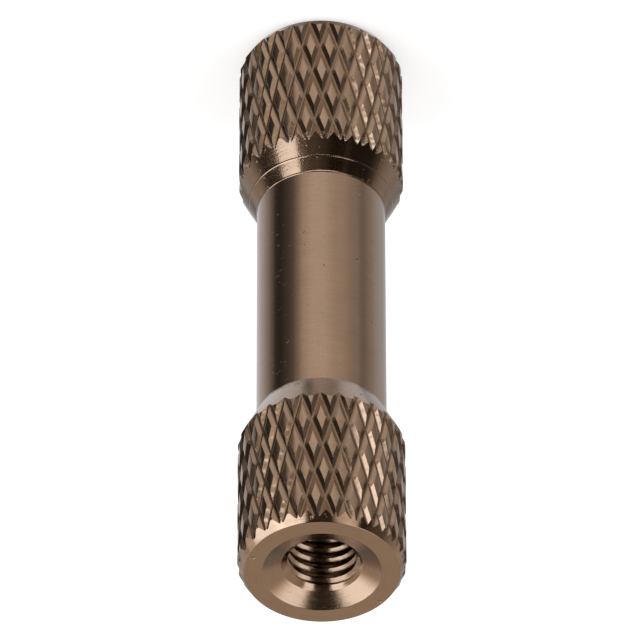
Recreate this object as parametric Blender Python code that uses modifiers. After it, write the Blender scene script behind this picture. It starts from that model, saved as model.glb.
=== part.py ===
"""Knurled female standoff: a turned bar with two diamond-knurled heads, a plain waist and a tapped bore.

Metres, +Z up. The standoff stands on one end face, with its axis on Z and that face at z = 0.
"""

import math

import bmesh
import bpy

MM = 0.001

# Driving dimensions of the turned bar
LENGTH = 26.0 * MM
HEAD_DIAMETER = 6.5 * MM
HEAD_LENGTH = 6.15 * MM
WAIST_DIAMETER = 5.06 * MM
SHOULDER_ANGLE = math.radians(25.5)
CHAMFER_LENGTH = 0.42 * MM
CHAMFER_ANGLE = math.radians(31.0)

# Bore for an M3 x 0.5 thread, at its tap drill size. At each end a shallow countersink leads to a mouth a little
# wider than the thread, and a steeper cone from there to the bore.
BORE_DIAMETER = 2.5 * MM
MOUTH_DIAMETER = 3.15 * MM
MOUTH_ANGLE = math.radians(45.0)
COUNTERSINK_DIAMETER = 4.6 * MM
COUNTERSINK_ANGLE = math.radians(65.0)

# Diamond knurl, rolled by one wheel for each hand. The left wheel leaves one groove more round the head, so the
# rows of diamonds climb a little as they go round.
KNURL_PITCH = 0.756 * MM
KNURL_DEPTH = 0.135 * MM
GROOVE_FLOOR = 0.07 * MM
GROOVE_WALL_ANGLE = math.radians(40.0)
LEFT_HELIX_ANGLE = math.radians(17.7)
RIGHT_HELIX_ANGLE = math.radians(14.2)

# Where the middle of one diamond lies on each head: its turn about Z and its distance from the end face
TOP_DIAMOND_TURN = math.radians(5.8)
TOP_DIAMOND_INSET = 3.75 * MM
BOTTOM_DIAMOND_TURN = math.radians(-0.5)
BOTTOM_DIAMOND_INSET = 2.85 * MM

# Material left on the blank for the knurl to remove, and what the cutters reach past the blank
KNURL_ALLOWANCE = 0.15 * MM
CUTTER_REACH = 0.3 * MM

TURNED_STEPS = 84
METAL_COLOUR = (0.19, 0.14, 0.105, 1.0)
METAL_ROUGHNESS = 0.28

HEAD_RADIUS = HEAD_DIAMETER / 2
WAIST_RADIUS = WAIST_DIAMETER / 2
RIGHT_GROOVES = round(math.pi * HEAD_DIAMETER / KNURL_PITCH)
LEFT_GROOVES = RIGHT_GROOVES + 1


def clear_scene():
    for item in list(bpy.data.objects):
        bpy.data.objects.remove(item, do_unlink=True)


def new_collection(name):
    collection = bpy.data.collections.new(name)
    bpy.context.scene.collection.children.link(collection)
    return collection


def new_object(name, mesh, collection):
    item = bpy.data.objects.new(name, mesh)
    collection.objects.link(item)
    return item


def metal_material():
    material = bpy.data.materials.new("bronze_anodised_aluminium")
    material.use_nodes = True
    shader = material.node_tree.nodes["Principled BSDF"]
    shader.inputs["Base Color"].default_value = METAL_COLOUR
    shader.inputs["Metallic"].default_value = 1.0
    shader.inputs["Roughness"].default_value = METAL_ROUGHNESS
    return material


def head_profile():
    """(radius, distance from the end face) of one head, from the bore out to the waist."""
    blank_radius = HEAD_RADIUS + KNURL_ALLOWANCE
    face_radius = HEAD_RADIUS - CHAMFER_LENGTH * math.tan(CHAMFER_ANGLE)
    bore_radius = BORE_DIAMETER / 2
    mouth_radius = MOUTH_DIAMETER / 2
    countersink_radius = COUNTERSINK_DIAMETER / 2
    mouth_inset = (countersink_radius - mouth_radius) / math.tan(COUNTERSINK_ANGLE)
    bore_inset = mouth_inset + (mouth_radius - bore_radius) / math.tan(MOUTH_ANGLE)
    chamfer_end = (blank_radius - face_radius) / math.tan(CHAMFER_ANGLE)
    shoulder_start = HEAD_LENGTH - KNURL_ALLOWANCE / math.tan(SHOULDER_ANGLE)
    shoulder_end = HEAD_LENGTH + (HEAD_RADIUS - WAIST_RADIUS) / math.tan(SHOULDER_ANGLE)
    return [
        (bore_radius, bore_inset),
        (mouth_radius, mouth_inset),
        (countersink_radius, 0.0),
        (face_radius, 0.0),
        (blank_radius, chamfer_end),
        (blank_radius, shoulder_start),
        (WAIST_RADIUS, shoulder_end),
    ]


def turned_blank(collection):
    """The bar before knurling: the section of both heads, swept once round Z."""
    head = head_profile()
    section = [(radius, LENGTH - inset) for radius, inset in head]
    section += [(radius, inset) for radius, inset in reversed(head)]
    mesh = bpy.data.meshes.new("standoff")
    points = [(radius, 0.0, height) for radius, height in section]
    edges = [(i, (i + 1) % len(points)) for i in range(len(points))]
    mesh.from_pydata(points, edges, [])
    blank = new_object("standoff", mesh, collection)
    screw = blank.modifiers.new("turn", "SCREW")
    screw.axis = "Z"
    screw.angle = math.tau
    screw.steps = TURNED_STEPS
    screw.render_steps = TURNED_STEPS
    screw.use_merge_vertices = True
    screw.merge_threshold = 1e-6
    return blank


class DiamondLattice:
    """Two crossing families of helical grooves on a cylinder.

    A cell lies between two grooves of each hand, and is named by its place among the left grooves and
    its place among the right ones. Cell (0, 0) has its middle at the given turn and height. The letters
    W, N, E and S name a cell's corners on the groove floor, and w, n, e and s those of its flat top.
    """

    def __init__(self, turn, height):
        self.turn = turn
        self.height = height
        self.lean = math.tan(LEFT_HELIX_ANGLE) + math.tan(RIGHT_HELIX_ANGLE)
        floor_share = GROOVE_FLOOR / 2 / KNURL_PITCH
        top_share = floor_share + KNURL_DEPTH / math.tan(GROOVE_WALL_ANGLE) / KNURL_PITCH
        self.corners = self.corner_offsets("WNES", floor_share, HEAD_RADIUS - KNURL_DEPTH)
        self.corners.update(self.corner_offsets("wnes", top_share, HEAD_RADIUS))

    @staticmethod
    def corner_offsets(letters, share, radius):
        """Each corner's place across the left and the right grooves, from the cell's middle, and its radius."""
        reach = 0.5 - share
        west, north, east, south = letters
        return {
            west: (-reach, -reach, radius),
            north: (reach, -reach, radius),
            east: (reach, reach, radius),
            south: (-reach, reach, radius),
        }

    def climb(self, left, right):
        """Height above the first cell's middle of a place counted across the left and the right grooves."""
        return math.pi * HEAD_DIAMETER * (left / LEFT_GROOVES - right / RIGHT_GROOVES) / self.lean

    def corner_point(self, cell, letter):
        across_left, across_right, radius = self.corners[letter]
        left = cell[0] + across_left
        right = cell[1] + across_right
        left_turns = math.tan(RIGHT_HELIX_ANGLE) * left / LEFT_GROOVES
        right_turns = math.tan(LEFT_HELIX_ANGLE) * right / RIGHT_GROOVES
        angle = self.turn + math.tau * (left_turns + right_turns) / self.lean
        height = self.height + self.climb(left, right)
        return (radius * math.sin(angle), -radius * math.cos(angle), height)

    def cells_covering(self, low, high):
        """The cells that cover Z from low to high all round the head, with some to spare."""
        per_groove = -self.climb(0, 1)
        cells = []
        for left in range(LEFT_GROOVES):
            start = self.height + self.climb(left, 0)
            first = math.ceil((start - high) / per_groove) - 2
            last = math.floor((start - low) / per_groove) + 2
            cells += [(left, right) for right in range(first, last + 1)]
        return cells

    def add_faces(self, bm, cells):
        """Adds the knurled surface over these cells. Its two rims are zigzags."""
        corners = {
            (cell, letter): bm.verts.new(self.corner_point(cell, letter))
            for cell in cells
            for letter in self.corners
        }

        def face(*names):
            bm.faces.new([corners[name] for name in names])

        def beside(cell, left_steps, right_steps):
            """The cell so many grooves away. Once round the head, both counts start again."""
            left = cell[0] + left_steps
            laps = left // LEFT_GROOVES
            return (left - laps * LEFT_GROOVES, cell[1] + right_steps - laps * RIGHT_GROOVES)

        present = set(cells)
        for cell in cells:
            face(*((cell, letter) for letter in "wnes"))
            for low, high in zip("WNES", "NESW"):
                face((cell, low), (cell, high), (cell, high.lower()), (cell, low.lower()))
            over_left = beside(cell, 1, 0)
            over_right = beside(cell, 0, 1)
            over_both = beside(cell, 1, 1)
            if over_left in present:
                face((cell, "N"), (over_left, "W"), (over_left, "S"), (cell, "E"))
            if over_right in present:
                face((cell, "E"), (over_right, "N"), (over_right, "W"), (cell, "S"))
            if {over_left, over_right, over_both} <= present:
                face((cell, "E"), (over_left, "S"), (over_both, "W"), (over_right, "N"))


def knurl_cutter(name, turn, height, low, high, collection):
    """A sleeve round one head whose inside is the knurled surface, so that cutting with it leaves the knurl."""
    lattice = DiamondLattice(turn, height)
    bm = bmesh.new()
    lattice.add_faces(bm, lattice.cells_covering(low, high))
    rims = [edge for edge in bm.edges if edge.is_boundary]
    widened = bmesh.ops.extrude_edge_only(bm, edges=rims)["geom"]
    outer = [item for item in widened if isinstance(item, bmesh.types.BMVert)]
    outer_radius = HEAD_RADIUS + KNURL_ALLOWANCE + CUTTER_REACH
    for vertex in outer:
        widening = outer_radius / vertex.co.xy.length
        vertex.co.x *= widening
        vertex.co.y *= widening
    outer.sort(key=lambda vertex: math.atan2(vertex.co.y, vertex.co.x))
    middle = (low + high) / 2
    upper = [vertex for vertex in outer if vertex.co.z > middle]
    lower = [vertex for vertex in outer if vertex.co.z <= middle]
    for i in range(len(upper)):
        bm.faces.new([upper[i - 1], upper[i], lower[i], lower[i - 1]])
    bmesh.ops.recalc_face_normals(bm, faces=bm.faces)
    mesh = bpy.data.meshes.new(name)
    bm.to_mesh(mesh)
    bm.free()
    cutter = new_object(name, mesh, collection)
    cutter.display_type = "WIRE"
    cutter.hide_render = True
    return cutter


def cut(item, cutter):
    difference = item.modifiers.new(cutter.name, "BOOLEAN")
    difference.operation = "DIFFERENCE"
    difference.object = cutter
    difference.solver = "EXACT"


def apply_modifiers(item):
    graph = bpy.context.evaluated_depsgraph_get()
    finished = bpy.data.meshes.new_from_object(item.evaluated_get(graph))
    finished.name = item.name
    item.modifiers.clear()
    item.data = finished


def main():
    clear_scene()
    parts = new_collection("threaded_standoff")
    cutters = new_collection("cutters")
    standoff = turned_blank(parts)
    knurl_reach = HEAD_LENGTH + KNURL_DEPTH / math.tan(SHOULDER_ANGLE) + CUTTER_REACH
    top_height = LENGTH - TOP_DIAMOND_INSET
    top = knurl_cutter(
        "top_knurl", TOP_DIAMOND_TURN, top_height, LENGTH - knurl_reach, LENGTH + CUTTER_REACH, cutters
    )
    bottom = knurl_cutter(
        "bottom_knurl", BOTTOM_DIAMOND_TURN, BOTTOM_DIAMOND_INSET, -CUTTER_REACH, knurl_reach, cutters
    )
    cut(standoff, top)
    cut(standoff, bottom)
    apply_modifiers(standoff)
    standoff.data.materials.append(metal_material())
    standoff.data.shade_smooth()
    standoff.data.set_sharp_from_angle(angle=math.radians(20.0))


main()
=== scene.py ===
"""The knurled standoff dressed for its picture.

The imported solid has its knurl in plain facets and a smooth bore. One finer piece stands in its place, with
rounded knurl edges, its turned corners broken and an M3 thread in both ends. Metres, +Z up.
"""

import math
from collections import namedtuple

import bmesh
import bpy
from mathutils import Matrix, Vector


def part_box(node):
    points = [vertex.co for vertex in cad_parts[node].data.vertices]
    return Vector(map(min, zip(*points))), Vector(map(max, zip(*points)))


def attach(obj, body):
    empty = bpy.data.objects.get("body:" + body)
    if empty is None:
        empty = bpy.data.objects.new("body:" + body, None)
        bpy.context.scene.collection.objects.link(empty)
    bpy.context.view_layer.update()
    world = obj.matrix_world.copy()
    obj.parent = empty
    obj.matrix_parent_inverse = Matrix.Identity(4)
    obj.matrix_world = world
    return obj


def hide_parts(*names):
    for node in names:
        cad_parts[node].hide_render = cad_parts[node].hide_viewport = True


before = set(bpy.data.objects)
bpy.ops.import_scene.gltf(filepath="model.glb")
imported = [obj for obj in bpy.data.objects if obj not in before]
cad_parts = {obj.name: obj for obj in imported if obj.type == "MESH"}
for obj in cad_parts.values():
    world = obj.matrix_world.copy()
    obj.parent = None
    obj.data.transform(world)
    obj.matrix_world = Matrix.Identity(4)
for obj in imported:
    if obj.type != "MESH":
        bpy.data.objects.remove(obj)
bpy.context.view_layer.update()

MM = 0.001
FULL_TURN = 360
low_corner, high_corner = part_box("standoff")

# Turned bar, as the solid has it
LENGTH = high_corner.z - low_corner.z
HEAD_DIAMETER = 6.5 * MM
HEAD_LENGTH = 6.15 * MM
WAIST_DIAMETER = 5.06 * MM
SHOULDER_ANGLE = math.radians(25.5)
CHAMFER_LENGTH = 0.42 * MM
CHAMFER_ANGLE = math.radians(31.0)
BORE_DIAMETER = 2.5 * MM
MOUTH_DIAMETER = 3.15 * MM
MOUTH_ANGLE = math.radians(45.0)
COUNTERSINK_DIAMETER = 4.6 * MM
COUNTERSINK_ANGLE = math.radians(65.0)

# Diamond knurl, as the solid has it. One groove more leans left than right, so the rows of diamonds climb a
# little as they go round.
KNURL_PITCH = 0.756 * MM
KNURL_DEPTH = 0.135 * MM
GROOVE_FLOOR = 0.07 * MM
GROOVE_WALL_ANGLE = math.radians(40.0)
LEFT_HELIX_ANGLE = math.radians(17.7)
RIGHT_HELIX_ANGLE = math.radians(14.2)
TOP_DIAMOND_TURN = math.radians(5.8)
TOP_DIAMOND_INSET = 3.75 * MM
BOTTOM_DIAMOND_TURN = math.radians(-0.5)
BOTTOM_DIAMOND_INSET = 2.85 * MM

# Metal that the knurl is cut from, and how far the cutters reach past what they cut. A knurl sleeve has so
# many grooves to spare at either end, and a tap's core lies so far inside the bore.
KNURL_ALLOWANCE = 0.15 * MM
CUTTER_REACH = 0.3 * MM
SPARE_GROOVES = 2
TAP_CORE_INSET = 0.1 * MM

# Finer forms that only this piece has
GROOVE_ROUNDING = 0.055 * MM
GROOVE_FLOOR_ROUNDING = 0.09 * MM
FACE_EDGE_ROUNDING = 0.03 * MM
COUNTERSINK_EDGE_ROUNDING = 0.06 * MM
MOUTH_ROUNDING = 0.02 * MM
WAIST_END_ROUNDING = 0.10 * MM
THREAD_PITCH = 0.5 * MM
THREAD_DIAMETER = 3.08 * MM
THREAD_CREST_DIAMETER = 2.66 * MM
THREAD_ROOT_FLAT = THREAD_PITCH / 8
THREAD_FLANK_ANGLE = math.radians(30.0)
THREAD_ROUNDING = 0.03 * MM
THREAD_DEPTH = 7.0 * MM
THREAD_RUNOUT_TURNS = 1.5

# Fineness of the mesh. Where turned faces meet at less than the smooth angle they shade as one, and a wide
# face pulls the normal its own way by this power of its width.
TURNED_STEPS = 256
THREAD_STEPS = 72
GROOVE_ROUNDING_STEPS = 2
TURNED_ROUNDING_STEPS = 4
MERGE_DISTANCE = 1e-7
SMOOTH_ANGLE = math.radians(25.0)
WIDTH_POWER = 3

HEAD_RADIUS = HEAD_DIAMETER / 2
WAIST_RADIUS = WAIST_DIAMETER / 2
BORE_RADIUS = BORE_DIAMETER / 2
RIGHT_GROOVES = round(math.pi * HEAD_DIAMETER / KNURL_PITCH)
LEFT_GROOVES = RIGHT_GROOVES + 1

# Material slots of the fine piece
TURNED, KNURLED, THREADED = range(3)


def new_object(name, data):
    item = bpy.data.objects.new(name, data)
    bpy.context.scene.collection.objects.link(item)
    return item


def mesh_from(bm, name, surface):
    bmesh.ops.recalc_face_normals(bm, faces=bm.faces)
    for face in bm.faces:
        face.material_index = surface
    mesh = bpy.data.meshes.new(name)
    bm.to_mesh(mesh)
    bm.free()
    return mesh


def rounded_line(corners, rounding_steps):
    """The points of a line through these (x, y, rounding) corners. Its two ends stay sharp."""
    points = [Vector(corners[0][:2])]
    for before, here, after in zip(corners, corners[1:], corners[2:]):
        corner = Vector(here[:2])
        back = (Vector(before[:2]) - corner).normalized()
        onward = (Vector(after[:2]) - corner).normalized()
        reach = here[2] / math.tan(back.angle(onward) / 2)
        steps = rounding_steps if reach > 0 else 0
        for step in range(steps + 1):
            share = step / steps if steps else 0.5
            points.append(corner + back * reach * (1 - share) ** 2 + onward * reach * share**2)
    points.append(Vector(corners[-1][:2]))
    return points


def turned_blank():
    """The bar before knurling: its section swept round Z."""
    blank_radius = HEAD_RADIUS + KNURL_ALLOWANCE
    face_radius = HEAD_RADIUS - CHAMFER_LENGTH * math.tan(CHAMFER_ANGLE)
    mouth_radius = MOUTH_DIAMETER / 2
    rim_radius = COUNTERSINK_DIAMETER / 2
    mouth_inset = (rim_radius - mouth_radius) / math.tan(COUNTERSINK_ANGLE)
    bore_inset = mouth_inset + (mouth_radius - BORE_RADIUS) / math.tan(MOUTH_ANGLE)
    chamfer_end = (blank_radius - face_radius) / math.tan(CHAMFER_ANGLE)
    shoulder_start = HEAD_LENGTH - KNURL_ALLOWANCE / math.tan(SHOULDER_ANGLE)
    shoulder_end = HEAD_LENGTH + (HEAD_RADIUS - WAIST_RADIUS) / math.tan(SHOULDER_ANGLE)
    head = [
        (BORE_RADIUS, bore_inset, 0.0),
        (mouth_radius, mouth_inset, MOUTH_ROUNDING),
        (rim_radius, 0.0, COUNTERSINK_EDGE_ROUNDING),
        (face_radius, 0.0, FACE_EDGE_ROUNDING),
        (blank_radius, chamfer_end, 0.0),
        (blank_radius, shoulder_start, 0.0),
        (WAIST_RADIUS, shoulder_end, WAIST_END_ROUNDING),
    ]
    corners = [(radius, LENGTH - inset, rounding) for radius, inset, rounding in head]
    corners += [(radius, inset, rounding) for radius, inset, rounding in reversed(head)]
    section = rounded_line(corners, TURNED_ROUNDING_STEPS)
    mesh = bpy.data.meshes.new("turned_blank")
    edges = [(i, (i + 1) % len(section)) for i in range(len(section))]
    mesh.from_pydata([(point.x, 0.0, point.y) for point in section], edges, [])
    blank = new_object("turned_blank", mesh)
    screw = blank.modifiers.new("turn", "SCREW")
    screw.steps = TURNED_STEPS
    screw.render_steps = TURNED_STEPS
    screw.use_merge_vertices = True
    screw.merge_threshold = MERGE_DISTANCE
    return blank


def groove_stations():
    """Across one groove spacing, from groove to groove: (place from -0.5 to 0.5, depth)."""
    wall = KNURL_DEPTH / math.tan(GROOVE_WALL_ANGLE)
    corners = [
        (0.0, KNURL_DEPTH, 0.0),
        (GROOVE_FLOOR / 2, KNURL_DEPTH, GROOVE_FLOOR_ROUNDING),
        (GROOVE_FLOOR / 2 + wall, 0.0, GROOVE_ROUNDING),
        (KNURL_PITCH / 2, 0.0, 0.0),
    ]
    line = rounded_line(corners, GROOVE_ROUNDING_STEPS)
    rising = [(point.x / KNURL_PITCH - 0.5, point.y) for point in line]
    falling = [(-place, depth) for place, depth in reversed(rising[1:-1])]
    return rising + falling


def knurl_sleeve(name, turn, middle_height, low, high):
    """A sleeve round one head whose inside is the knurled surface, so cutting with it leaves the knurl.

    Places on that surface are counted across the two families of helical grooves. The left family leans
    like a backslash on an upright head, and the right family like a slash.
    """
    left_lean = math.tan(LEFT_HELIX_ANGLE)
    right_lean = math.tan(RIGHT_HELIX_ANGLE)
    climb = math.pi * HEAD_DIAMETER / (left_lean + right_lean)
    stations = groove_stations()
    count = len(stations)
    bm = bmesh.new()
    corners = {}

    def corner(left_index, right_index):
        laps = left_index // (count * LEFT_GROOVES)
        key = (left_index - laps * count * LEFT_GROOVES, right_index - laps * count * RIGHT_GROOVES)
        if key not in corners:
            left_place, left_depth = stations[key[0] % count]
            right_place, right_depth = stations[key[1] % count]
            left = (key[0] // count + left_place) / LEFT_GROOVES
            right = (key[1] // count + right_place) / RIGHT_GROOVES
            angle = turn + math.tau * (right_lean * left + left_lean * right) / (left_lean + right_lean)
            radius = HEAD_RADIUS - max(left_depth, right_depth)
            height = middle_height + (left - right) * climb
            corners[key] = bm.verts.new((radius * math.sin(angle), -radius * math.cos(angle), height))
        return corners[key]

    def depth_at(index):
        return stations[index % count][1]

    for column in range(LEFT_GROOVES):
        start = middle_height + climb * column / LEFT_GROOVES
        first = math.ceil((start - high) * RIGHT_GROOVES / climb) - SPARE_GROOVES
        last = math.floor((start - low) * RIGHT_GROOVES / climb) + SPARE_GROOVES
        for i in range(column * count, (column + 1) * count):
            for j in range(first * count, (last + 1) * count):
                quad = [corner(i, j), corner(i + 1, j), corner(i + 1, j + 1), corner(i, j + 1)]
                mitre = depth_at(i) == depth_at(j) and depth_at(i + 1) == depth_at(j + 1)
                other_mitre = depth_at(i + 1) == depth_at(j) and depth_at(i) == depth_at(j + 1)
                if depth_at(i) == depth_at(i + 1) or not (mitre or other_mitre):
                    bm.faces.new(quad)
                elif mitre:
                    bm.faces.new((quad[0], quad[1], quad[2]))
                    bm.faces.new((quad[0], quad[2], quad[3]))
                else:
                    bm.faces.new((quad[0], quad[1], quad[3]))
                    bm.faces.new((quad[1], quad[2], quad[3]))

    rims = [edge for edge in bm.edges if edge.is_boundary]
    widened = bmesh.ops.extrude_edge_only(bm, edges=rims)["geom"]
    outer = [item for item in widened if isinstance(item, bmesh.types.BMVert)]
    outer_radius = HEAD_RADIUS + KNURL_ALLOWANCE + CUTTER_REACH
    for vertex in outer:
        widening = outer_radius / vertex.co.xy.length
        vertex.co.x *= widening
        vertex.co.y *= widening
    outer.sort(key=lambda vertex: math.atan2(vertex.co.y, vertex.co.x))
    middle = (low + high) / 2
    upper = [vertex for vertex in outer if vertex.co.z > middle]
    lower = [vertex for vertex in outer if vertex.co.z <= middle]
    for i in range(len(upper)):
        bm.faces.new([upper[i - 1], upper[i], lower[i], lower[i - 1]])
    return new_object(name, mesh_from(bm, name, KNURLED))


def thread_section():
    """(radius, height) over one pitch of the thread, from one crest's middle up to the next."""
    crest_radius = THREAD_CREST_DIAMETER / 2
    root_radius = THREAD_DIAMETER / 2
    root_half = THREAD_ROOT_FLAT / 2
    flank = (root_radius - crest_radius) * math.tan(THREAD_FLANK_ANGLE)
    corners = [
        (crest_radius, 0.0, 0.0),
        (crest_radius, THREAD_PITCH / 2 - root_half - flank, THREAD_ROUNDING),
        (root_radius, THREAD_PITCH / 2 - root_half, THREAD_ROUNDING / 2),
        (root_radius, THREAD_PITCH / 2 + root_half, THREAD_ROUNDING / 2),
        (crest_radius, THREAD_PITCH / 2 + root_half + flank, THREAD_ROUNDING),
        (crest_radius, THREAD_PITCH, 0.0),
    ]
    return rounded_line(corners, GROOVE_ROUNDING_STEPS)[:-1]


def thread_tap(name, low, high, fades_at_low):
    """A right-handed tap on Z whose outside is the thread. It fades out over its last turns at one end."""
    section = thread_section()
    count = len(section)
    length = math.ceil((high - low) / THREAD_PITCH) * THREAD_STEPS
    core_radius = BORE_RADIUS - TAP_CORE_INSET
    bm = bmesh.new()
    grid = []
    for step in range(length + THREAD_STEPS + 1):
        angle = math.tau * step / THREAD_STEPS
        turns_left = (step if fades_at_low else length - step) / THREAD_STEPS
        fullness = min(1.0, max(0.0, turns_left / THREAD_RUNOUT_TURNS))
        column = []
        for radius, height in section:
            radius = core_radius + (radius - core_radius) * fullness
            height += low + THREAD_PITCH * (step / THREAD_STEPS - 1)
            column.append(bm.verts.new((radius * math.cos(angle), radius * math.sin(angle), height)))
        grid.append(column)

    def corner(step, station):
        return grid[step][station] if station < count else grid[step + THREAD_STEPS][0]

    for step in range(length):
        for station in range(count):
            bm.faces.new([
                corner(step, station),
                corner(step + 1, station),
                corner(step + 1, station + 1),
                corner(step, station + 1),
            ])
    bmesh.ops.delete(bm, geom=[vertex for vertex in bm.verts if not vertex.link_faces], context="VERTS")
    for rim in rim_loops(bm):
        height = sum(vertex.co.z for vertex in rim) / len(rim)
        middle = bm.verts.new((0.0, 0.0, height))
        for i in range(len(rim)):
            bm.faces.new((rim[i - 1], rim[i], middle))
    return new_object(name, mesh_from(bm, name, THREADED))


def rim_loops(bm):
    """The open rims of a mesh, each as its vertices in order."""
    loops = []
    waiting = {edge for edge in bm.edges if edge.is_boundary}
    while waiting:
        edge = waiting.pop()
        start, here = edge.verts
        loop = [start, here]
        while here is not start:
            edge = next(item for item in here.link_edges if item in waiting)
            waiting.remove(edge)
            here = edge.other_vert(here)
            loop.append(here)
        loops.append(loop[:-1])
    return loops


def cut(item, cutter):
    difference = item.modifiers.new(cutter.name, "BOOLEAN")
    difference.operation = "DIFFERENCE"
    difference.object = cutter
    difference.solver = "EXACT"


def fine_standoff():
    """The blank with the knurl and the threads cut in it, as one mesh."""
    blank = turned_blank()
    knurl_reach = HEAD_LENGTH + KNURL_DEPTH / math.tan(SHOULDER_ANGLE) + CUTTER_REACH
    cutters = [
        knurl_sleeve(
            "top_knurl",
            turn=TOP_DIAMOND_TURN,
            middle_height=LENGTH - TOP_DIAMOND_INSET,
            low=LENGTH - knurl_reach,
            high=LENGTH + CUTTER_REACH,
        ),
        knurl_sleeve(
            "bottom_knurl",
            turn=BOTTOM_DIAMOND_TURN,
            middle_height=BOTTOM_DIAMOND_INSET,
            low=-CUTTER_REACH,
            high=knurl_reach,
        ),
        thread_tap("top_tap", LENGTH - THREAD_DEPTH, LENGTH + CUTTER_REACH, fades_at_low=True),
        thread_tap("bottom_tap", -CUTTER_REACH, THREAD_DEPTH, fades_at_low=False),
    ]
    materials = [turned_material(), knurled_material(), threaded_material()]
    for item in [blank, *cutters]:
        for material in materials:
            item.data.materials.append(material)
    for cutter in cutters:
        cut(blank, cutter)
    graph = bpy.context.evaluated_depsgraph_get()
    mesh = bpy.data.meshes.new_from_object(blank.evaluated_get(graph))
    mesh.name = "fine_standoff"
    piece = new_object("fine_standoff", mesh)
    for item in [blank, *cutters]:
        bpy.data.objects.remove(item, do_unlink=True)
    mesh.shade_smooth()
    mesh.set_sharp_from_angle(angle=SMOOTH_ANGLE)
    set_turned_normals(mesh)
    return piece


def lie_of(polygon):
    """The polygon's normal as (away from the axis, up)."""
    outward = polygon.center.xy.normalized()
    return Vector((polygon.normal.xy.dot(outward), polygon.normal.z)).normalized()


def set_turned_normals(mesh):
    """Turned faces get the normals of the cones and cylinders they lie on, and narrow ones those between."""
    turned = [polygon for polygon in mesh.polygons if polygon.material_index == TURNED]
    lies = {}
    for polygon in turned:
        points = [mesh.vertices[index].co for index in polygon.vertices]
        heights = [point.z for point in points]
        radii = [point.xy.length for point in points]
        width = max(heights) - min(heights) + max(radii) - min(radii)
        lie = lie_of(polygon)
        for index in polygon.vertices:
            lies.setdefault(index, []).append((lie, width))
    normals = [Vector(normal.vector) for normal in mesh.corner_normals]
    for polygon in turned:
        own = lie_of(polygon)
        for loop in polygon.loop_indices:
            index = mesh.loops[loop].vertex_index
            lie = Vector((0.0, 0.0))
            for other, width in lies[index]:
                if own.dot(other) > math.cos(SMOOTH_ANGLE):
                    lie += other * (width / MM) ** WIDTH_POWER
            if lie.length > 0:
                lie.normalize()
                around = mesh.vertices[index].co.xy.normalized()
                normals[loop] = Vector((around.x * lie.x, around.y * lie.x, lie.y))
    mesh.normals_split_custom_set(normals)


# Where a Mix node keeps its two colours and gives its mixed one
MIX_COLOUR_INPUTS = (6, 7)
MIX_COLOUR_OUTPUT = 2


class Nodes:
    """Short ways to add and link shader nodes in one tree."""

    def __init__(self, tree):
        self.tree = tree
        tree.nodes.clear()

    def put(self, socket, value):
        if isinstance(value, bpy.types.NodeSocket):
            self.tree.links.new(value, socket)
        elif value is not None:
            socket.default_value = value

    def new(self, kind, *values, **settings):
        """Adds a node with these settings, and with these values in its first inputs."""
        node = self.tree.nodes.new(kind)
        for name, setting in settings.items():
            setattr(node, name, setting)
        for socket, value in zip(node.inputs, values):
            self.put(socket, value)
        return node

    def add(self, kind, **inputs):
        """Adds a node and returns its first output. An input's name has _ for a space."""
        node = self.new(kind)
        for name, value in inputs.items():
            self.put(node.inputs[name.replace("_", " ")], value)
        return node.outputs[0]

    def math(self, operation, *values):
        return self.new("ShaderNodeMath", *values, operation=operation).outputs[0]

    def product(self, *factors):
        """All these values multiplied together."""
        result = factors[0]
        for factor in factors[1:]:
            result = self.math("MULTIPLY", result, factor)
        return result

    def change(self, mask, amount, level=1.0):
        """This level, changed by the amount where the mask is 1."""
        return self.math("MULTIPLY_ADD", mask, amount, level)

    def step(self, value, low, high):
        """Rises smoothly from 0 to 1 as the value goes from low to high."""
        return self.new("ShaderNodeMapRange", value, low, high, interpolation_type="SMOOTHSTEP").outputs[0]

    def window(self, value, low, high, softness):
        """1 between low and high, and 0 outside, with soft edges."""
        rising = self.step(value, low - softness / 2, low + softness / 2)
        falling = self.step(value, high + softness / 2, high - softness / 2)
        return self.product(rising, falling)

    def blend(self, first, second, share):
        """The first grey where the share is 0 and the second where it is 1."""
        return self.change(share, self.math("SUBTRACT", second, first), first)

    def mix(self, share, first, second):
        """The first colour where the share is 0 and the second where it is 1."""
        node = self.new("ShaderNodeMix", share, data_type="RGBA")
        for place, colour in zip(MIX_COLOUR_INPUTS, (first, second)):
            self.put(node.inputs[place], colour)
        return node.outputs[MIX_COLOUR_OUTPUT]

    def ramp(self, factor, stops):
        """A grey ramp through these (place, level) stops."""
        node = self.new("ShaderNodeValToRGB", factor)
        node.color_ramp.interpolation = "EASE"
        elements = node.color_ramp.elements
        while len(elements) < len(stops):
            elements.new(0.5)
        for element, (place, level) in zip(elements, stops):
            element.position = place
            element.color = (level, level, level, 1.0)
        return node.outputs[0]

    def parts(self, vector):
        """The three numbers of a vector."""
        return self.new("ShaderNodeSeparateXYZ", vector).outputs[:]

    def object_coordinates(self):
        return self.new("ShaderNodeTexCoord").outputs["Object"]

    def seen(self):
        """1 for the rays that show the plain background: camera, glossy and transmission rays."""
        path = self.new("ShaderNodeLightPath").outputs
        either = self.math("MAXIMUM", path["Is Camera Ray"], path["Is Glossy Ray"])
        return self.math("MAXIMUM", either, path["Is Transmission Ray"])

    def surface(self, shader):
        """Makes this shader the material's own."""
        self.new("ShaderNodeOutputMaterial", shader)


def new_material(name):
    material = bpy.data.materials.new(name)
    material.use_nodes = True
    return material


# Anodised aluminium: the metal under its clear, neutral oxide skin
METAL_COLOUR = (0.325, 0.197, 0.108)
BARE_COLOUR = (0.84, 0.70, 0.55, 1.0)
SKIN_IOR = 1.5
SKIN_ROUGHNESS = 0.08
TURNED_ROUGHNESS = 0.13
KNURLED_ROUGHNESS = 0.14
THREADED_ROUGHNESS = 0.17
ROUGHNESS_SPREAD = 0.10

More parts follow.
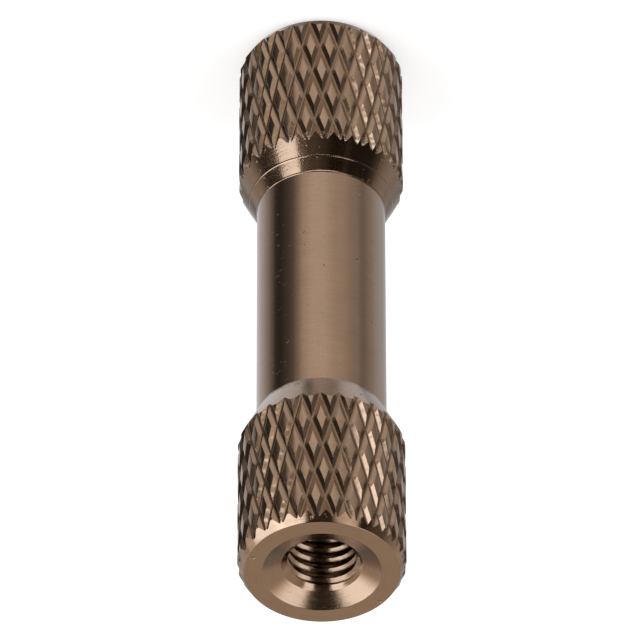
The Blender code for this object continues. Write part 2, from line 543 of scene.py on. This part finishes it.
# From here to the end of the materials, lengths are in mm
PER_MM = 1000.0
HEAD_END = HEAD_LENGTH / MM
Marks = namedtuple("Marks", "per_mm length rise")
Grain = namedtuple("Grain", "per_mm detail rise")
Pits = namedtuple("Pits", "per_mm radius rise")
Ridge = namedtuple("Ridge", "height width rise")

# Noise has this roughness from one octave to the next. A pit's floor takes this share of its radius. Pits
# show only in the patches where another noise, with this many cells to one of theirs, is above this level.
NOISE_ROUGHNESS = 0.6
NOISE_DETAIL = 2.0
MARK_DETAIL = 3.0
PIT_FLOOR_SHARE = 0.6
PATCH_CELLS = 0.7
PATCH_LEVEL = 0.56

# Turned faces: lathe marks, grain, small pits, dents, and how far each spreads the colour
COARSE_MARKS = Marks(7.0, 2.5, 0.0022)
FINE_MARKS = Marks(26.0, 1.2, 0.0018)
FINE_SHADE_SPREAD = 0.36
TURNED_GRAIN = Grain(22.0, NOISE_DETAIL, 0.0009)
TURNED_GRAIN_SHADE_SPREAD = 0.30
TURNED_WEAR_PER_MM = 0.9
TURNED_WEAR_SHADE_SPREAD = 0.22
SMALL_PITS = Pits(1.5, 0.03, -0.014)
PIT_SHADE = -0.5
DENTS = Pits(1.3, 0.09, -0.018)

# Countersinks: the radii between which they lie, and the marks of the tool that bored them
BORED_RADII = (1.5, 2.34)
BORED_SOFTNESS = 0.05
BORED_MARKS = Marks(13.0, 1.0, 0.0028)
BORED_ROUGHNESS = 0.05

# Scratches: the noise that draws them starts them at the first level, and they are full at the second. On the
# lower shoulder they show some bare metal.
SCRATCHES = Marks(9.0, 0.22, -0.003)
SCRATCH_LEVELS = (0.68, 0.71)
SCRATCH_BARENESS = 0.5

# Lower shoulder: ridges that the lathe tool left round it, and past the first of them a stretch that runs a
# little steeper. Fine rubbing marks go along its slope, so many to the mm on each axis.
TOOL_RIDGES = [Ridge(7.03, 0.04, 0.005), Ridge(7.61, 0.04, 0.008)]
SHOULDER_FOOT_LENGTH = 0.6
SHOULDER_FOOT_SLOPE = 0.014
RUBBED_STRETCH = (17.0, 17.0, 1.5)
RUBBED_HEIGHTS = (6.3, 7.5)
RUBBED_SOFTNESS = 0.3
RUBBED_RISE = 0.003

# Knurl: waves from the knurling wheels, grain and pits
KNURL_WAVES = Grain(4.0, 0.0, 0.007)
KNURL_GRAIN = Grain(16.0, 1.0, 0.0005)
KNURL_GRAIN_SHADE_SPREAD = 0.24
KNURL_WEAR_PER_MM = 2.0
KNURL_WEAR_SHADE_SPREAD = 0.36
KNURL_SHADE = 0.98
KNURL_PITS = Pits(1.6, 0.04, -0.010)

# The feet of the knurl's grooves are rougher and painted darker, as painted shade in the grooves, up to this
# radius, and over so much more they clear
FOOT_RADIUS = (HEAD_RADIUS - KNURL_DEPTH) / MM + 0.008
FOOT_FADE = 0.03
FOOT_PAINTED_SHADE = -0.2
FOOT_ROUGHNESS = 0.22
FOOT_SKIN = -0.7

# The lower head's teeth end in small bare burrs towards the waist, between these heights
BURR_HEIGHTS = (HEAD_END, HEAD_END + 0.35)
BURR_SOFTNESS = 0.15
BURRS = Grain(12.0, NOISE_DETAIL, 0.045)
BURR_LEVELS = (0.52, 0.57)

# Thread: scores along its turns, grain, and a painted shade that darkens it all over in the bore
THREAD_SCORES = Marks(12.0, 0.7, 0.005)
THREAD_GRAIN = Grain(7.0, NOISE_DETAIL, 0.005)
THREAD_GRAIN_SHADE_SPREAD = 0.5
THREAD_PAINTED_SHADE = 0.8


class MetalSurface(Nodes):
    """The anodised metal, with marks that differ from one worked surface to another."""

    def __init__(self, name, roughness):
        self.material = new_material(name)
        super().__init__(self.material.node_tree)
        self.roughness = roughness
        scaling = self.new("ShaderNodeVectorMath", self.object_coordinates(), operation="SCALE")
        self.put(scaling.inputs["Scale"], PER_MM)
        self.place = scaling.outputs[0]
        self.x, self.y, self.height = self.parts(self.place)
        across = self.math("MULTIPLY_ADD", self.y, self.y, self.product(self.x, self.x))
        self.radius = self.math("SQRT", across)

    def noise(self, vector, per_mm, detail=NOISE_DETAIL):
        """Noise from 0 to 1 with so many cells in a millimetre."""
        return self.add(
            "ShaderNodeTexNoise", Vector=vector, Scale=per_mm, Detail=detail, Roughness=NOISE_ROUGHNESS
        )

    def grain(self, grain):
        return self.noise(self.place, grain.per_mm, grain.detail)

    def tool_marks(self, marks):
        """Noise drawn out round the axis, as a lathe tool leaves it, by the way along the turned section."""
        along = self.product(self.math("ADD", self.height, self.radius), marks.per_mm)
        x = self.math("DIVIDE", self.x, marks.length)
        y = self.math("DIVIDE", self.y, marks.length)
        return self.noise(self.new("ShaderNodeCombineXYZ", along, x, y).outputs[0], 1.0, MARK_DETAIL)

    def pits(self, pits):
        """1 inside round pits, scattered at random."""
        cells = self.new("ShaderNodeTexVoronoi")
        self.put(cells.inputs["Vector"], self.place)
        self.put(cells.inputs["Scale"], pits.per_mm)
        rim = pits.radius * pits.per_mm
        inside = self.step(cells.outputs["Distance"], rim, rim * PIT_FLOOR_SHARE)
        patches = self.noise(self.place, pits.per_mm * PATCH_CELLS)
        return self.product(inside, self.math("GREATER_THAN", patches, PATCH_LEVEL))

    def spread(self, noise, spread, middle=1.0):
        """A factor that this noise moves about its middle, by half the spread each way."""
        return self.change(noise, spread, middle - spread / 2)

    def relief(self, layers):
        """The normal of a surface with these (height, rise) layers, each as high as the two multiplied."""
        normal = None
        for height, rise in layers:
            normal = self.add(
                "ShaderNodeBump", Height=height, Distance=rise * MM, Strength=1.0, Normal=normal
            )
        return normal

    def finish(self, normal, shade, roughness_change, skin=1.0, bare=0.0):
        """Sets the shader and returns the material.

        The shade scales the metal's colour, the change adds to its roughness, and bare metal shows where bare
        is 1.
        """
        colour = self.new("ShaderNodeVectorMath", METAL_COLOUR, operation="SCALE")
        self.put(colour.inputs["Scale"], shade)
        shader = self.add(
            "ShaderNodeBsdfPrincipled",
            Base_Color=self.mix(bare, colour.outputs[0], BARE_COLOUR),
            Metallic=1.0,
            Roughness=self.math("ADD", roughness_change, self.roughness),
            Normal=normal,
            Coat_Weight=skin,
            Coat_Roughness=SKIN_ROUGHNESS,
            Coat_IOR=SKIN_IOR,
            Coat_Normal=normal,
        )
        self.surface(shader)
        return self.material


def turned_material():
    """Lathe marks round the axis, a faint grain, a few pits and dents, and the lower shoulder's own marks."""
    metal = MetalSurface("anodised_turned_metal", TURNED_ROUGHNESS)
    coarse = metal.tool_marks(COARSE_MARKS)
    fine = metal.tool_marks(FINE_MARKS)
    grain = metal.grain(TURNED_GRAIN)
    worn = metal.noise(metal.place, TURNED_WEAR_PER_MM)
    pits = metal.pits(SMALL_PITS)
    dents = metal.pits(DENTS)
    scratches = metal.step(metal.tool_marks(SCRATCHES), *SCRATCH_LEVELS)
    rubbed = metal.window(metal.height, *RUBBED_HEIGHTS, RUBBED_SOFTNESS)
    stretched = metal.new("ShaderNodeVectorMath", metal.place, RUBBED_STRETCH, operation="MULTIPLY")
    rubbing = metal.product(metal.noise(stretched.outputs[0], 1.0), rubbed)
    bored = metal.window(metal.radius, *BORED_RADII, BORED_SOFTNESS)
    boring = metal.product(metal.tool_marks(BORED_MARKS), bored)
    past_ridge = metal.math("SUBTRACT", metal.height, TOOL_RIDGES[0].height)
    past_ridge = metal.math("MINIMUM", metal.math("MAXIMUM", past_ridge, 0.0), SHOULDER_FOOT_LENGTH)
    layers = [
        (coarse, COARSE_MARKS.rise),
        (fine, FINE_MARKS.rise),
        (rubbing, RUBBED_RISE),
        (boring, BORED_MARKS.rise),
        (past_ridge, SHOULDER_FOOT_SLOPE),
        (grain, TURNED_GRAIN.rise),
        (scratches, SCRATCHES.rise),
        (pits, SMALL_PITS.rise),
        (dents, DENTS.rise),
    ]
    for height, width, rise in TOOL_RIDGES:
        layers.append((metal.window(metal.height, height, height + width, width), rise))
    shade = metal.product(
        metal.spread(worn, TURNED_WEAR_SHADE_SPREAD),
        metal.change(pits, PIT_SHADE),
        metal.spread(fine, FINE_SHADE_SPREAD),
        metal.spread(grain, TURNED_GRAIN_SHADE_SPREAD),
    )
    roughness_change = metal.change(bored, BORED_ROUGHNESS, metal.spread(coarse, ROUGHNESS_SPREAD, 0.0))
    bare = metal.product(scratches, rubbed, SCRATCH_BARENESS)
    return metal.finish(metal.relief(layers), shade, roughness_change, bare=bare)


def knurled_material():
    """Metal pressed by the knurling wheels: wavy, with a coarser grain, painted shade in the groove feet and
    bare burrs.
    """
    metal = MetalSurface("anodised_knurled_metal", KNURLED_ROUGHNESS)
    waves = metal.grain(KNURL_WAVES)
    grain = metal.grain(KNURL_GRAIN)
    worn = metal.noise(metal.place, KNURL_WEAR_PER_MM)
    pits = metal.pits(KNURL_PITS)
    chips = metal.step(metal.grain(BURRS), *BURR_LEVELS)
    burrs = metal.product(metal.window(metal.height, *BURR_HEIGHTS, BURR_SOFTNESS), chips)
    foot = metal.step(metal.radius, FOOT_RADIUS + FOOT_FADE, FOOT_RADIUS)
    normal = metal.relief([
        (waves, KNURL_WAVES.rise),
        (grain, KNURL_GRAIN.rise),
        (burrs, BURRS.rise),
        (pits, KNURL_PITS.rise),
    ])
    # The groove feet are painted darker here: painted shade in the recesses.
    shade = metal.product(
        metal.spread(worn, KNURL_WEAR_SHADE_SPREAD, KNURL_SHADE),
        metal.change(foot, FOOT_PAINTED_SHADE),
        metal.spread(grain, KNURL_GRAIN_SHADE_SPREAD),
    )
    roughness_change = metal.change(foot, FOOT_ROUGHNESS, metal.spread(grain, ROUGHNESS_SPREAD, 0.0))
    return metal.finish(normal, shade, roughness_change, metal.change(foot, FOOT_SKIN), burrs)


def threaded_material():
    """Cut thread flanks with short scores along the turns, painted darker all over as painted shade in the
    bore.
    """
    metal = MetalSurface("anodised_threaded_metal", THREADED_ROUGHNESS)
    scores = metal.tool_marks(THREAD_SCORES)
    grain = metal.grain(THREAD_GRAIN)
    normal = metal.relief([(scores, THREAD_SCORES.rise), (grain, THREAD_GRAIN.rise)])
    # The thread's colour is set darker all over: painted shade in the bore.
    shade = metal.spread(grain, THREAD_GRAIN_SHADE_SPREAD, THREAD_PAINTED_SHADE)
    return metal.finish(normal, shade, metal.spread(scores, ROUGHNESS_SPREAD, 0.0))


# Photograph's frame, 640 pixels square: where the near end face's middle is, its scale and how it is seen
PICTURE_SIDE = 640
FACE_PIXEL = (321.93, 572.15)
FACE_PIXELS_PER_MM = 26.127
FACE_DISTANCE = 383.46 * MM
VIEW_FROM_AXIS = math.radians(48.88)
VIEW_ROLL = math.radians(-0.134)
SENSOR = 36.0
CLIP_START = 0.01


def add_camera():
    """The camera looks down on the upper end face, turned so that this end is at the foot of the picture."""
    focal_pixels = FACE_PIXELS_PER_MM * FACE_DISTANCE / MM
    forward = Vector((0.0, math.sin(VIEW_FROM_AXIS), -math.cos(VIEW_FROM_AXIS)))
    level = Vector((-1.0, 0.0, 0.0))
    falling = Vector((0.0, math.cos(VIEW_FROM_AXIS), math.sin(VIEW_FROM_AXIS)))
    right = level * math.cos(VIEW_ROLL) - falling * math.sin(VIEW_ROLL)
    down = falling * math.cos(VIEW_ROLL) + level * math.sin(VIEW_ROLL)
    metres_per_pixel = FACE_DISTANCE / focal_pixels
    across = (FACE_PIXEL[0] - PICTURE_SIDE / 2) * metres_per_pixel
    below = (FACE_PIXEL[1] - PICTURE_SIDE / 2) * metres_per_pixel
    data = bpy.data.cameras.new("camera")
    data.sensor_width = SENSOR
    data.lens = SENSOR * focal_pixels / PICTURE_SIDE
    data.clip_start = CLIP_START
    camera = new_object("camera", data)
    turn = Matrix((right, -down, -forward)).transposed()
    place = Vector((0.0, 0.0, LENGTH)) - forward * FACE_DISTANCE - right * across - down * below
    camera.matrix_world = Matrix.Translation(place) @ turn.to_4x4()
    bpy.context.scene.camera = camera


# Light on the standoff, and how much more the floor shows than it is lit. Each lamp gives this share of the
# plain level of light.
WHITE = (1.0, 1.0, 1.0, 1.0)
AMBIENT = 0.6
FLOOR_SIDE = 4.0
FLOOR_COLOUR = (0.80, 0.80, 0.80, 1.0)
FLOOR_LIFT = 0.45
LAMP_PLACES = {"left_lamp": (0.25, -0.10, 0.32), "right_lamp": (-0.25, -0.10, 0.32)}
LAMP_SIDE = 0.30
LAMP_SHARE = 0.25

SURROUND_RADIUS = 1.0
SURROUND_SEGMENTS = 64
BOX_SOFTNESS = 3.0
RING_SOFTNESS = 1.6
OVERHEAD_SIDE_SOFTNESS = 0.04
OVERHEAD_END_SOFTNESS = 0.26

# What the metal mirrors, by where it lies: azimuth in degrees from -Y towards +X, elevation in degrees above
# level. Each ring of the studio starts at its elevation and has grey levels by azimuth.
SURROUND_RINGS = {
    "table_under": (-90, [
        (-180, 0.3), (180, 0.3),
    ]),
    "table_below": (-84, [
        # Towards 180 degrees these levels are low: a painted shadow of the standoff on the floor round where
        # it stands.
        (-180, 0.15), (-160, 0.2), (-148, 0.47), (-127, 0.70), (-97, 0.5), (-77, 0.45), (-53, 0.66),
        (-28, 0.78), (0, 0.9), (23, 0.85), (46, 0.68), (56, 0.72), (71, 0.42), (92, 0.35), (112, 0.6),
        (127, 0.72), (146, 0.62), (160, 0.2), (180, 0.15),
    ]),
    "table_front": (-63, [
        (-180, 0.5), (-148, 0.45), (-122, 0.25), (-97, 0.15), (-77, 0.45), (-53, 0.80), (-25, 0.80),
        (0, 0.84), (25, 0.84), (46, 0.70), (60, 0.62), (71, 0.34), (92, 0.1), (114, 0.15), (128, 0.5),
        (138, 0.76), (150, 0.66), (180, 0.5),
    ]),
    "table": (-51, [
        (-180, 0.5), (-160, 0.45), (-144, 0.43), (-128, 0.5), (-112, 0.51), (-98, 0.43), (-80, 0.33),
        (-64, 0.5), (-32, 0.74), (0, 1.0), (16, 1.0), (32, 0.8), (43, 0.42), (52, 0.19), (64, 0.11),
        (80, 0.05), (90, 0.07), (98, 0.21), (112, 0.42), (128, 0.56), (160, 0.62), (180, 0.5),
    ]),
    "table_edge": (-34, [
        (-180, 0.35), (-130, 0.25), (-100, 0.16), (-75, 0.15), (-60, 0.20), (-50, 0.24), (-33, 0.34),
        (-19, 0.45), (0, 0.80), (16, 0.72), (24, 0.5), (33, 0.2), (45, 0.06), (86, 0.05), (103, 0.17),
        (125, 0.22), (180, 0.35),
    ]),
    "bright_apron": (-20.7, [
        (-180, 0.5), (-100, 0.35), (-75, 0.15), (-40, 0.08), (-31, 0.5), (-20, 2.5), (-3, 3.3), (16, 3.1),
        (24, 1.6), (32, 0.3), (40, 0.06), (88, 0.05), (103, 0.25), (125, 0.5), (180, 0.5),
    ]),
    "walls": (-12, [
        (-180, 0.10), (-166, 0.13), (-158, 0.26), (-150, 0.3), (-119, 0.6), (-101, 0.45), (-91, 0.33),
        (-82, 0.10), (-72, 0.03), (-17, 0.02), (-5, 0.08), (12, 0.16), (24, 0.15), (40, 0.08), (82, 0.05),
        (90, 0.10), (101, 0.38), (110, 0.58), (125, 0.68), (150, 0.3), (158, 0.22), (166, 0.12),
        (180, 0.10),
    ]),
    "upper_walls": (24, [
        (-180, 0.57), (-90, 0.6), (-50, 0.3), (-20, 0.06), (20, 0.06), (50, 0.3), (90, 0.6), (180, 0.57),
    ]),
}

# Bright boxes before the walls: azimuths from and to, elevations from and to, level
SURROUND_BOXES = {
    "left_tail": (94, 110, -2, 8, 1.0),
    "left_strip": (60, 97, 5.5, 18, 2.9),
    "left_front_box_low": (32, 60.5, 2.2, 14, 2.5),
    "left_front_box": (20, 62, 13, 23, 3.4),
    "right_front_box": (-49, -14.5, 17, 24, 1.3),
    "right_glow": (-98, -58, 9, 15, 0.17),
}

# The same overhead, by how far a direction leans: towards +X from and to, towards +Y from and to, level
OVERHEAD_BOXES = {
    "left_overhead_box": (0.265, 0.72, -0.70, 0.52, 2.6),
    "right_overhead_box": (-0.60, -0.225, -0.70, 0.36, 2.3),
    "overhead_gap": (-0.235, 0.275, -0.90, 0.45, 0.025),
    "front_gap": (-0.30, 0.34, -0.90, -0.12, 0.03),
}

# The table is a little warm, and between these elevations it passes into the warmer room above. The boxes are
# a little cool, and between these grey levels what is mirrored passes into their tint.
TABLE_TINT = (1.04, 1.0, 0.99, 1.0)
ROOM_TINT = (1.11, 1.0, 0.91, 1.0)
ROOM_START = (-8.0, 8.0)
BOX_TINT = (0.90, 1.0, 1.18, 1.0)
BOX_TINT_LEVELS = (0.3, 2.6)


def add_world():
    world = bpy.data.worlds.new("studio")
    bpy.context.scene.world = world
    world.use_nodes = True
    nodes = Nodes(world.node_tree)
    ambient = nodes.add("ShaderNodeBackground", Color=WHITE, Strength=AMBIENT)
    white = nodes.add("ShaderNodeBackground", Color=WHITE, Strength=1.0)
    mix = nodes.new("ShaderNodeMixShader", nodes.seen(), ambient, white)
    nodes.new("ShaderNodeOutputWorld", mix.outputs[0])


def add_floor():
    """A plain pale floor that looks white and keeps the standoff's shadow."""
    bpy.ops.mesh.primitive_plane_add(size=FLOOR_SIDE)
    floor = bpy.context.object
    floor.name = "floor"
    material = new_material("floor")
    nodes = Nodes(material.node_tree)
    diffuse = nodes.add("ShaderNodeBsdfDiffuse", Color=FLOOR_COLOUR)
    lift = nodes.add("ShaderNodeEmission", Strength=nodes.product(nodes.seen(), FLOOR_LIFT))
    nodes.surface(nodes.new("ShaderNodeAddShader", diffuse, lift).outputs[0])
    floor.data.materials.append(material)
    floor.visible_glossy = False


def reflection_only(item):
    """Stage cards show in the metal's gloss alone, so no view sees them and they cast no shadow."""
    item.visible_camera = False
    item.visible_diffuse = False
    item.visible_transmission = False
    item.visible_volume_scatter = False
    item.visible_shadow = False


def studio_level(nodes, direction, elevation):
    """The grey level that the metal sees in each direction."""
    towards_x, towards_y, upward = direction
    angle = nodes.math("ARCTAN2", towards_x, nodes.product(towards_y, -1.0))
    share = nodes.change(angle, 1 / math.tau, 0.5)
    azimuth = nodes.math("DEGREES", angle)
    level = None
    for start, levels in SURROUND_RINGS.values():
        ring = nodes.ramp(share, [(0.5 + degrees / FULL_TURN, grey) for degrees, grey in levels])
        above = nodes.step(elevation, start - RING_SOFTNESS / 2, start + RING_SOFTNESS / 2)
        level = nodes.blend(level, ring, above) if level else ring
    for azimuth_low, azimuth_high, low, high, grey in SURROUND_BOXES.values():
        inside = nodes.product(
            nodes.window(azimuth, azimuth_low, azimuth_high, BOX_SOFTNESS),
            nodes.window(elevation, low, high, BOX_SOFTNESS / 2),
        )
        level = nodes.blend(level, grey, inside)
    aloft = nodes.math("GREATER_THAN", upward, 0.0)
    for left, right, front, back, grey in OVERHEAD_BOXES.values():
        inside = nodes.product(
            nodes.window(towards_x, left, right, OVERHEAD_SIDE_SOFTNESS),
            nodes.window(towards_y, front, back, OVERHEAD_END_SOFTNESS),
            aloft,
        )
        level = nodes.blend(level, grey, inside)
    return level


def add_surround():
    """The studio as the metal sees it: floor, walls, soft boxes, the dark gaps between them and a painted
    shadow of the standoff on the floor.
    """
    bpy.ops.mesh.primitive_uv_sphere_add(
        segments=SURROUND_SEGMENTS, ring_count=SURROUND_SEGMENTS // 2, radius=SURROUND_RADIUS
    )
    surround = bpy.context.object
    surround.name = "surround"
    material = new_material("surround")
    nodes = Nodes(material.node_tree)
    unit = nodes.new("ShaderNodeVectorMath", nodes.object_coordinates(), operation="NORMALIZE").outputs[0]
    direction = nodes.parts(unit)
    elevation = nodes.math("DEGREES", nodes.math("ARCSINE", direction[2]))
    level = studio_level(nodes, direction, elevation)
    room = nodes.mix(nodes.step(elevation, *ROOM_START), TABLE_TINT, ROOM_TINT)
    tint = nodes.mix(nodes.step(level, *BOX_TINT_LEVELS), room, BOX_TINT)
    nodes.surface(nodes.add("ShaderNodeEmission", Color=tint, Strength=level))
    surround.data.materials.append(material)
    reflection_only(surround)


def add_lamp(name, place):
    """A square soft box that looks at the standoff."""
    data = bpy.data.lights.new(name, "AREA")
    data.size = LAMP_SIDE
    data.energy = LAMP_SHARE * math.pi**2 * place.length_squared
    lamp = new_object(name, data)
    lamp.location = place
    lamp.rotation_euler = place.to_track_quat("Z", "Y").to_euler()
    lamp.visible_camera = False
    lamp.visible_glossy = False


piece = fine_standoff()
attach(piece, "root")
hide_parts("standoff")

add_world()
add_floor()
add_surround()
for lamp_name, lamp_place in LAMP_PLACES.items():
    add_lamp(lamp_name, Vector(lamp_place))
add_camera()
bpy.context.scene.view_settings.view_transform = "Standard"
